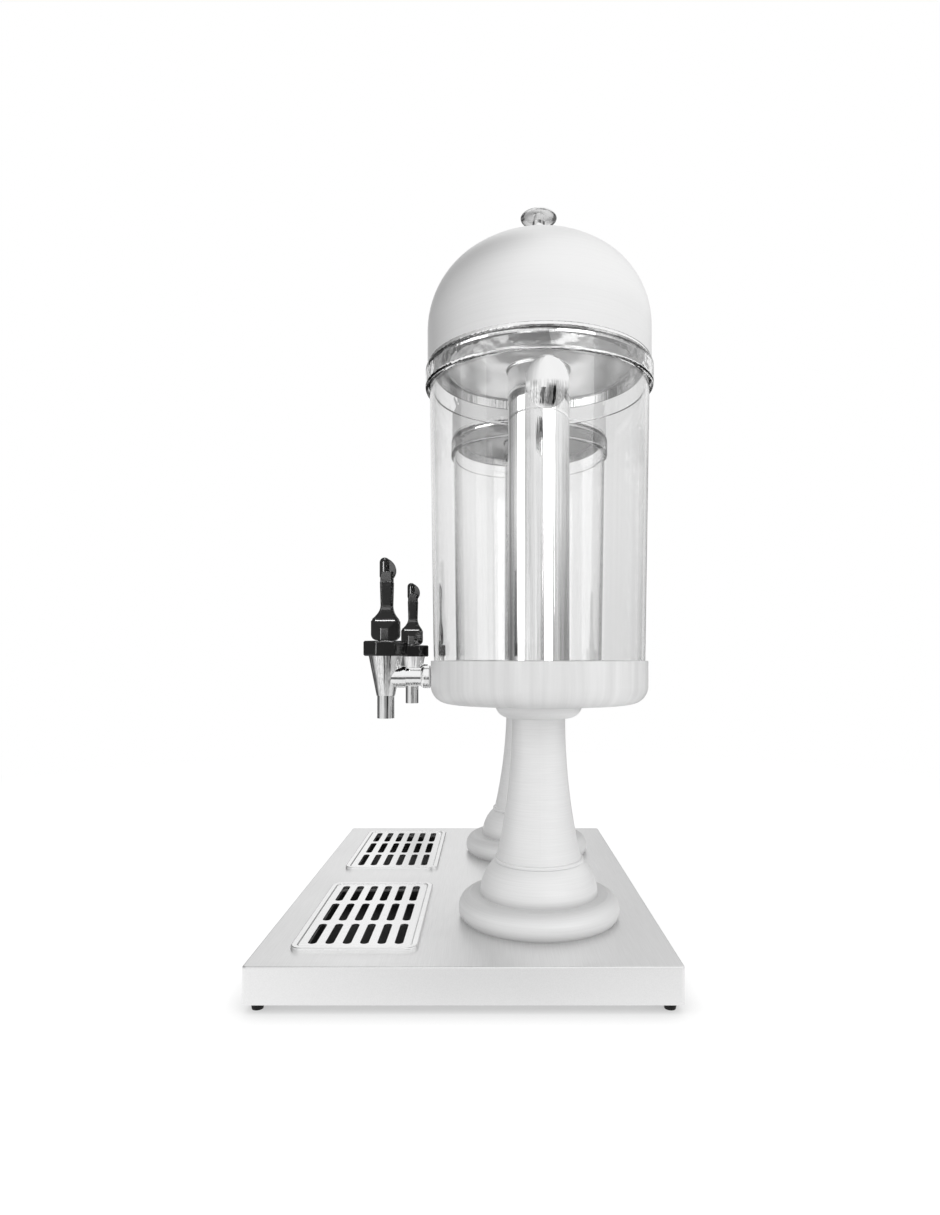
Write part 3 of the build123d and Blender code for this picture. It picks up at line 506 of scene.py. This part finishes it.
def polished(name, shade, rough, streak, ripple):
    """Chrome and mirror-polished steel, with a breath of polishing marks along the axis."""
    material, tree, surface = finish(name)
    grain = shared(tree, drawn_grain, Stretch=(700.0, 700.0, streak))
    waves = shared(tree, drawn_grain, Stretch=(160.0, 160.0, streak / 4))
    set_up(tree, surface, metallic=1.0,
           base_color=blend_greys(tree, grain["Cloud"], dark=shade - 0.03, light=shade + 0.03),
           roughness=spread(tree, grain["Grain"], low=rough * 0.6, high=rough * 1.4, span=wide_span))
    bump(tree, surface, waves["Grain"], strength=ripple, distance=ripple_relief)
    return material


def plain_steel():
    """Hidden rods, nuts, screws and the stiffener: plain mill steel."""
    material, tree, surface = finish("plain_steel")
    grain = shared(tree, drawn_grain, Stretch=(60.0, 600.0, 600.0))
    set_up(tree, surface, metallic=1.0,
           base_color=blend_greys(tree, grain["Cloud"], dark=0.5, light=0.66),
           roughness=spread(tree, grain["Grain"], low=0.28, high=0.46, span=wide_span))
    return material


def frosted_cup():
    """Tank cup: thick frosted clear plastic with faint upright streaks."""
    material, tree, surface = finish("frosted_cup")
    streaks = noise_round_axis(tree, around=14.0, upward=6.0, detail=3.0)
    level = spread(tree, streaks, span=(0.32, 0.68))
    set_up(tree, surface, transmission_weight=0.2, ior=1.45, coat_weight=0.25, coat_roughness=0.12,
           base_color=blend_greys(tree, level, dark=0.70, light=0.80),
           roughness=spread(tree, streaks, low=0.42, high=0.52))
    return material


def clear_tank():
    """Tank: clear polished plastic, wavy at its collar, that lets the lamps through."""
    material, tree, surface = finish("clear_tank")
    skin = shared(tree, moulded_skin, Scale=60.0)
    set_up(tree, surface, base_color=grey(0.94), transmission_weight=1.0, ior=1.46,
           roughness=spread(tree, skin["Marks"], low=0.0, high=0.02, span=(0.3, 0.8)))
    waves = noise_round_axis(tree, around=7.0, upward=60.0, detail=2.0)
    collar = remap(tree, shared(tree, unit_place)["Height"], *collar_fade, 0.0, 1.0)
    bump(tree, surface, times(tree, waves, collar), strength=0.18, distance=collar_relief)
    clear = node(tree, "ShaderNodeBsdfTransparent", {"Color": grey(0.96)})
    path = node(tree, "ShaderNodeLightPath").outputs
    through = math_node(tree, "MAXIMUM", path["Is Shadow Ray"], path["Is Diffuse Ray"])
    mixed = node(tree, "ShaderNodeMixShader", {0: through, 1: surface.outputs[0], 2: clear.outputs[0]})
    feed(tree, tree.get_output_node("ALL").inputs["Surface"], mixed.outputs[0])
    return material


def moulded_black(name, shade, rough, ior, scale, edge):
    """Black moulded pieces: the gloss tap handle and nut, and the matte rubber feet."""
    material, tree, surface = finish(name)
    skin = shared(tree, moulded_skin, Scale=scale)
    set_up(tree, surface, ior=ior,
           base_color=blend_greys(tree, skin["Marks"], dark=shade, light=shade * 1.6),
           roughness=spread(tree, skin["Marks"], low=rough * 0.75, high=rough * 1.25))
    bump(tree, surface, skin["Skin"], strength=0.12, edge=edge)
    return material


def soft_silicone():
    """Seals and washers: milky soft silicone."""
    material, tree, surface = finish("soft_silicone")
    skin = shared(tree, moulded_skin, Scale=500.0)
    set_up(tree, surface,
           base_color=blend_greys(tree, skin["Marks"], dark=0.66, light=0.78),
           roughness=spread(tree, skin["Marks"], low=0.42, high=0.56))
    bump(tree, surface, skin["Skin"], strength=0.1)
    return material


finishes = {
    "stainless_satin": satin_stainless(),
    "steel_plain": plain_steel(),
    "rubber_black": moulded_black("foot_rubber", shade=0.005, rough=0.6, ior=1.3, scale=600.0, edge=0.0004),
    "pedestal_satin": satin_spun("pedestal_satin", shade=0.76, rough=0.48),
    "cup_frosted": frosted_cup(),
    "tank_clear": clear_tank(),
    "steel_polished": polished("polished_steel", shade=0.93, rough=0.05, streak=6.0, ripple=0.45),
    "silicone": soft_silicone(),
    "chrome": polished("bright_chrome", shade=0.91, rough=0.04, streak=40.0, ripple=0.35),
    "black_plastic": moulded_black("gloss_black", shade=0.003, rough=0.08, ior=1.31, scale=900.0, edge=0.001),
    "lid_satin": lid_satin(),
    "tray_bright": bright_sheet(),
}
for subpart in subparts:
    piece = nodes[subpart["node"]]
    piece.data.materials.clear()
    piece.data.materials.append(finishes[subpart["material_slot"]])


# Threads on the ends that show past their nuts: rods under the base, tap shanks inside the tanks

def make_thread_turns():
    """Turns of thread at each point of a mesh: a ridge swept along a helix."""
    tree = bpy.data.node_groups.new("Thread Turns", "GeometryNodeTree")
    kinds = {"Places": "Geometry", "Radius": "Float", "Pitch": "Float", "Turns": "Float", "Ridge": "Float",
             "Facing": "Vector", "Finish": "Material"}
    for name, kind in kinds.items():
        tree.interface.new_socket(name, in_out="INPUT", socket_type="NodeSocket" + kind)
    tree.interface.new_socket("Thread", in_out="OUTPUT", socket_type="NodeSocketGeometry")
    given = tree.nodes.new("NodeGroupInput").outputs
    result = tree.nodes.new("NodeGroupOutput").inputs
    helix = node(tree, "GeometryNodeCurveSpiral", {
        "Resolution": helix_steps, "Rotations": given["Turns"], "Start Radius": given["Radius"],
        "End Radius": given["Radius"], "Height": times(tree, given["Pitch"], given["Turns"])})
    ridge = node(tree, "GeometryNodeCurvePrimitiveCircle", {
        "Resolution": ridge_sides, "Radius": given["Ridge"]})
    swept = node(tree, "GeometryNodeCurveToMesh", {
        "Curve": helix.outputs[0], "Profile Curve": ridge.outputs[0], "Fill Caps": True})
    turned = node(tree, "FunctionNodeEulerToRotation", {0: given["Facing"]})
    placed = node(tree, "GeometryNodeInstanceOnPoints", {
        "Points": given["Places"], "Instance": swept.outputs[0], "Rotation": turned.outputs[0]})
    real = node(tree, "GeometryNodeRealizeInstances", {"Geometry": placed.outputs[0]})
    painted = node(tree, "GeometryNodeSetMaterial", {
        "Geometry": real.outputs[0], "Material": given["Finish"]})
    feed(tree, result["Thread"], painted.outputs[0])
    return tree


def threads(name, slot, places, **sizes):
    """One plain mesh of thread turns at the given places, riding on the base."""
    mesh = bpy.data.meshes.new(name)
    mesh.from_pydata(places, [], [])
    piece = bpy.data.objects.new(name, mesh)
    bpy.context.scene.collection.objects.link(piece)
    maker = piece.modifiers.new("turns", "NODES")
    maker.node_group = thread_turns
    sizes["Finish"] = finishes[slot]
    for socket in thread_turns.interface.items_tree:
        if socket.name in sizes:
            maker[socket.identifier] = sizes[socket.name]
    seen = piece.evaluated_get(bpy.context.evaluated_depsgraph_get())
    piece.data = bpy.data.meshes.new_from_object(seen)
    piece.data.name = name
    piece.modifiers.clear()
    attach(piece, "base")


thread_turns = make_thread_turns()
rod_low, rod_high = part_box("tie_rod_right")
shank_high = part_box("tap_shank_right")[1]
locknut_low, locknut_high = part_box("tap_locknut_right")
rod_start = rod_low.z + thread_start
shank_start = shank_high.y - thread_start
shank_z = (locknut_low.z + locknut_high.z) / 2
threads("rod_threads", "steel_plain", [(side * unit_x, unit_y, rod_start) for side in unit_sides],
        Radius=(rod_high.x - rod_low.x) / 2, Facing=(0.0, 0.0, 0.0), **thread_sizes)
threads("shank_threads", "chrome", [(side * unit_x, shank_start, shank_z) for side in unit_sides],
        Radius=shank_thread_radius, Facing=(math.radians(90), 0.0, 0.0), **thread_sizes)


# Floor and world

def floor_to_eye(tree, place, paint):
    """How bright the floor looks by itself: white, darker in its paint, with a painted contact shadow at the
    feet and painted shade under the base.
    """
    x, y = split(tree, place)[:2]
    # Painted contact shadow: ambient occlusion darkens the floor close to the base
    painted_contact_shadow = node(tree, "ShaderNodeAmbientOcclusion", {"Distance": contact_reach}, samples=contact_samples)
    painted_contact_shadow = remap(tree, painted_contact_shadow.outputs["AO"], *contact_span, contact_level, 1.0)
    # Painted shade: the floor under the base goes dark
    inset_x = minus(tree, base_high.x, size_of(tree, x))
    inset_y = minus(tree, base_high.y, size_of(tree, y))
    painted_under_shade = remap(tree, math_node(tree, "MINIMUM", inset_x, inset_y), *under_fade, 1.0, under_level)
    glow = times(tree, opposite(tree, times(tree, paint, paint_share)), painted_contact_shadow)
    return times(tree, glow, painted_under_shade)


def floor_to_metal(tree, place, away, walls):
    """How bright the floor looks in polished metal: white near by, the studio's low greys far off."""
    x, y = split(tree, place)[:2]
    far = remap(tree, away, *floor_streaks, 0.0, 1.0)
    streaks = math_node(tree, "POWER", shared(tree, studio_greys, Towards=place)["Low"], floor_power)
    mirror = plus(tree, times(tree, streaks, far), opposite(tree, far))
    # Painted shade on the floor, seen only in polished metal: a strip before the eye and a dark band beside it
    shade = remap(tree, size_of(tree, minus(tree, y, eye[1])), *shade_aside, shade_depth, 0.0)
    shade = times(tree, shade, remap(tree, x, *shade_ahead, 0.0, 1.0))
    turn = plus(tree, math_node(tree, "ARCTAN2", y, x), gap_turn)
    gap = remap(tree, size_of(tree, turn), *gap_aside, gap_depth, 0.0)
    gap = times(tree, gap, remap(tree, away, *gap_away, 0.0, 1.0))
    for dark in (shade, gap):
        mirror = times(tree, mirror, opposite(tree, dark))
    lift = plus(tree, times(tree, between(tree, walls, *through_tank), tank_lift), 1.0)
    return times(tree, mirror, lift)


def make_floor_paint():
    """White to the eye with the object's soft shadow from the lamps and a painted contact shadow, a bounce for
    matt surfaces, greys for polished metal.
    """
    material, tree, surface = finish("floor_paint")
    place = object_place(tree)
    path = node(tree, "ShaderNodeLightPath").outputs
    walls = path["Transmission Depth"]
    lit = lights_matt(tree, path)
    mirrored = seen_in_metal(tree, path)
    away = node(tree, "ShaderNodeVectorMath", {0: place}, operation="LENGTH").outputs["Value"]
    paint = times(tree, remap(tree, away, *floor_fade, 1.0, 0.0), floor_grey)
    paint = times(tree, paint, opposite(tree, mirrored))
    to_eye = times(tree, floor_to_eye(tree, place, paint), opposite(tree, mirrored))
    to_metal = times(tree, floor_to_metal(tree, place, away, walls), mirrored)
    seen = times(tree, plus(tree, to_eye, to_metal), opposite(tree, lit))
    bounce = remap(tree, between(tree, walls, *within_tank), 0.0, 1.0, open_bounce, tank_bounce)
    set_up(tree, surface, roughness=floor_rough, emission_color=grey(1.0), specular_ior_level=0.0,
           base_color=plus(tree, paint, times(tree, lit, lit_grey)),
           emission_strength=plus(tree, seen, times(tree, lit, bounce)))
    return material


def make_world():
    """Even light for matt surfaces, studio greys for polished ones, white to the eye."""
    world = bpy.data.worlds.new("studio")
    world.use_nodes = True
    tree = world.node_tree
    tree.nodes.clear()
    towards = node(tree, "ShaderNodeTexCoord").outputs["Generated"]
    x, y, z = split(tree, towards)
    path = node(tree, "ShaderNodeLightPath").outputs
    greys = shared(tree, studio_greys, Towards=towards)
    low = math_node(tree, "POWER", greys["Low"], low_power)
    studio = blend_colours(tree, remap(tree, z, *low_to_middle, 0.0, 1.0), low, greys["Middle"])
    studio = blend_colours(tree, remap(tree, z, *middle_to_high, 0.0, 1.0), studio, greys["High"])
    card = times(tree, remap(tree, y, *card_across, *card_depth), remap(tree, x, *card_along, 1.0, 0.0))
    card = times(tree, card, over(tree, y, card_edge))
    card = times(tree, card, between(tree, path["Transmission Depth"], *through_tank))
    seen = blend_colours(tree, card, grey(1.0), grey(0.0))
    seen = blend_colours(tree, seen_in_metal(tree, path), seen, studio)
    seen = blend_colours(tree, lights_matt(tree, path), seen, grey(ambient))
    sky = node(tree, "ShaderNodeBackground", {"Color": seen, "Strength": 1.0})
    node(tree, "ShaderNodeOutputWorld", {"Surface": sky.outputs[0]})
    return world


floor_mesh = bpy.data.meshes.new("floor")
floor_corners = [(-floor_reach, -floor_reach, 0), (floor_reach, -floor_reach, 0),
                 (floor_reach, floor_reach, 0), (-floor_reach, floor_reach, 0)]
floor_mesh.from_pydata(floor_corners, [], [(0, 1, 2, 3)])
floor_mesh.materials.append(make_floor_paint())
floor = bpy.data.objects.new("floor", floor_mesh)
bpy.context.scene.collection.objects.link(floor)
bpy.context.scene.world = make_world()


# Lamps

def soft_box(name, degrees, rise, width, height, power, only=None):
    """A soft lamp at a compass direction and a rise, aimed at the object, on everything or only some pieces."""
    lamp = bpy.data.lights.new(name, "AREA")
    lamp.shape = "RECTANGLE"
    lamp.size = width
    lamp.size_y = height
    lamp.energy = power
    box = bpy.data.objects.new(name, lamp)
    turn = math.radians(degrees)
    climb = math.radians(rise)
    away = Vector((math.cos(turn) * math.cos(climb), math.sin(turn) * math.cos(climb), math.sin(climb)))
    box.location = Vector(lamp_aim) + lamp_distance * away
    box.rotation_mode = "QUATERNION"
    box.rotation_quaternion = away.to_track_quat("Z", "Y")
    box.visible_glossy = only is not None
    box.light_linking.receiver_collection = only
    bpy.context.scene.collection.objects.link(box)


def pieces_of(slot):
    """A collection of the pieces with one finish, for a lamp that lights only those."""
    pieces = bpy.data.collections.new(slot)
    for subpart in subparts:
        if subpart["material_slot"] == slot:
            pieces.objects.link(nodes[subpart["node"]])
    return pieces


gloss_pieces = pieces_of("black_plastic")
lid_pieces = pieces_of("lid_satin")
soft_box("right_box", degrees=32, rise=14, width=1.4, height=1.4, power=19.5)
soft_box("left_box", degrees=-70, rise=10, width=1.2, height=1.2, power=9.0)
soft_box("front_card", degrees=-8, rise=7.6, width=0.5, height=0.16, power=1.5, only=gloss_pieces)
soft_box("upper_strip", degrees=-8, rise=80, width=0.9, height=0.35, power=60.0, only=gloss_pieces)
soft_box("side_strip", degrees=-26, rise=2, width=0.5, height=1.2, power=95.0, only=gloss_pieces)
soft_box("lid_strip", degrees=175, rise=55, width=1.2, height=0.3, power=0.25, only=lid_pieces)

# Camera, level, looking from the end of the base along the two units
camera_data = bpy.data.cameras.new("camera")
camera_data.sensor_width = sensor
camera_data.lens = focal_pixels / photo_height * sensor
camera_data.shift_x = (photo_width / 2 - principal_x) / photo_height
camera_data.shift_y = (principal_y - photo_height / 2) / photo_height
camera = bpy.data.objects.new("camera", camera_data)
camera.location = eye
camera.rotation_euler = (math.radians(90), 0.0, math.radians(90))
bpy.context.scene.collection.objects.link(camera)
bpy.context.scene.camera = camera
bpy.context.scene.view_settings.view_transform = "Standard"
